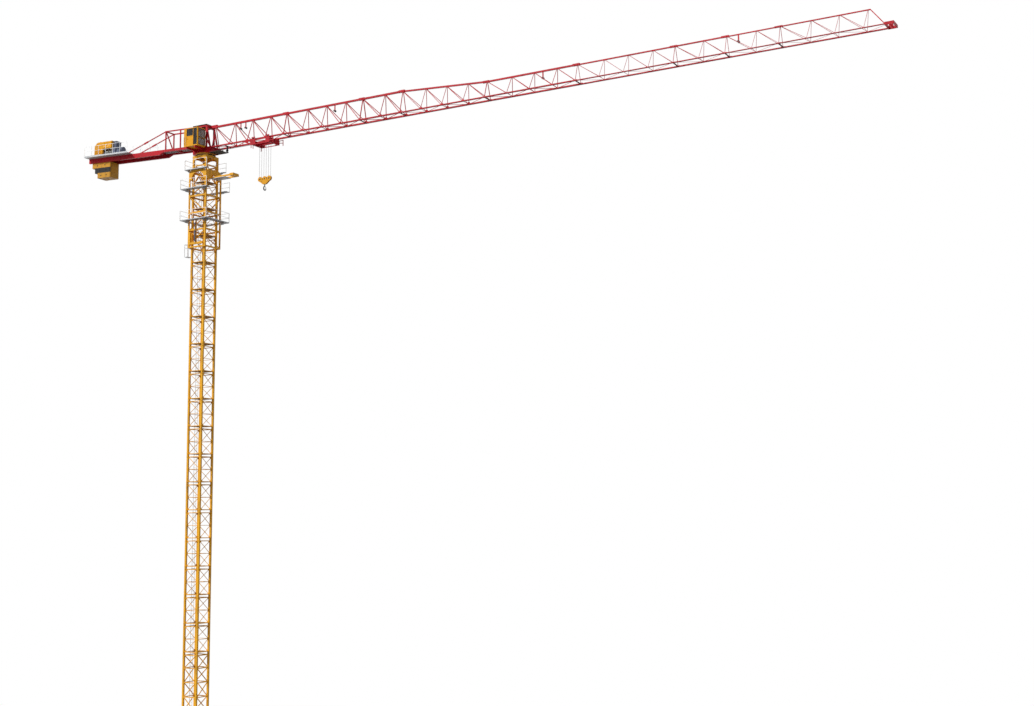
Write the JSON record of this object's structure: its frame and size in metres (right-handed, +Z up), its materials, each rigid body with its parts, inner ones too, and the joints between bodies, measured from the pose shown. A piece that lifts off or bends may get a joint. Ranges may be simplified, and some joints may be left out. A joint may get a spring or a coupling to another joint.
{
  "type": "tower crane scale model",
  "caption": "One-tenth scale flat-top tower crane: braced mast with climbing cage, slewing jib and counter-jib, cab, trolley and hook block.",
  "frame": {"origin": "on the mast axis at the underside of the base frame", "axes": "+Z up the mast, +X along the jib, -Y towards the cab side"},
  "size_m": [9.37, 0.43, 6.6985],
  "materials": {
    "mast_paint": "weathered yellow gloss paint",
    "jib_paint": "red gloss paint",
    "cab_paint": "yellow gloss paint",
    "black_paint": "black paint",
    "grating": "galvanised grating and rail",
    "machine_grey": "grey-blue machine paint",
    "dark_steel": "dark greased steel",
    "glass": "tinted cab glazing",
    "rope": "steel wire rope"
  },
  "bodies": {
    "mast": {"base_frame": "mast_paint", "mast_legs": "mast_paint", "mast_bracing_right": "mast_paint", "mast_bracing_front": "mast_paint", "mast_bracing_left": "mast_paint", "mast_bracing_rear": "mast_paint", "slewing_seat": "mast_paint"},
    "climbing_cage": {"cage_side_right": "mast_paint", "cage_side_left": "mast_paint", "cage_side_front": "mast_paint", "cage_side_rear": "mast_paint", "platform_lower": "grating", "platform_middle": "grating", "platform_upper": "grating", "platform_rails": "grating", "introduction_beam": "mast_paint", "introduction_tray": "grating", "climbing_yoke": "mast_paint", "hanging_stage": "grating"},
    "upper_works": {"slewing_platform": "jib_paint", "front_walkway": "dark_steel", "tower_head": "jib_paint", "head_platform": "dark_steel", "cab_beams": "jib_paint", "cab_shell": "cab_paint", "cab_glass": "glass", "jib_top_chord": "jib_paint", "jib_bottom_chords": "jib_paint", "jib_side_right": "jib_paint", "jib_side_left": "jib_paint", "jib_bottom_lacing": "jib_paint", "jib_tip_frame": "jib_paint", "rope_supports": "jib_paint", "counter_jib_frame": "jib_paint", "counter_jib_rear_frame": "jib_paint", "tie_bars": "jib_paint", "counter_jib_deck": "grating", "deck_rails": "grating", "ballast_upper": "cab_paint", "ballast_middle": "black_paint", "ballast_lower": "cab_paint", "hoist_frame": "machine_grey", "hoist_drum": "machine_grey", "hoist_motor": "machine_grey", "machine_cover": "cab_paint", "resistor_box": "machine_grey"},
    "trolley": {"trolley_frame": "jib_paint", "trolley_wheels": "dark_steel", "trolley_sheaves": "dark_steel", "trolley_basket": "jib_paint", "hoist_falls": "rope"},
    "hook_block": {"hook_block_cheeks": "cab_paint", "hook_block_sheaves": "dark_steel", "hook_crosshead": "dark_steel"},
    "hook": {"hook": "dark_steel"}
  },
  "joints": [
    {"name": "cage_climb", "type": "slide", "parent": "mast", "child": "climbing_cage", "axis": [0, 0, 1], "range_m": [-0.3, 0]},
    {"name": "slew", "type": "hinge", "parent": "mast", "child": "upper_works", "pos_m": [0, 0, 6.325], "axis": [0, 0, 1], "continuous": true},
    {"name": "trolley_travel", "type": "slide", "parent": "upper_works", "child": "trolley", "axis": [1, 0, 0], "range_m": [-0.2, 6.5]},
    {"name": "hoist", "type": "slide", "parent": "trolley", "child": "hook_block", "axis": [0, 0, 1], "range_m": [-5.7, 0.25], "deforming": ["hoist_falls"]},
    {"name": "hook_swivel", "type": "hinge", "parent": "hook_block", "child": "hook", "pos_m": [0.847, 0, 5.9], "axis": [0, 0, 1], "continuous": true}
  ]
}
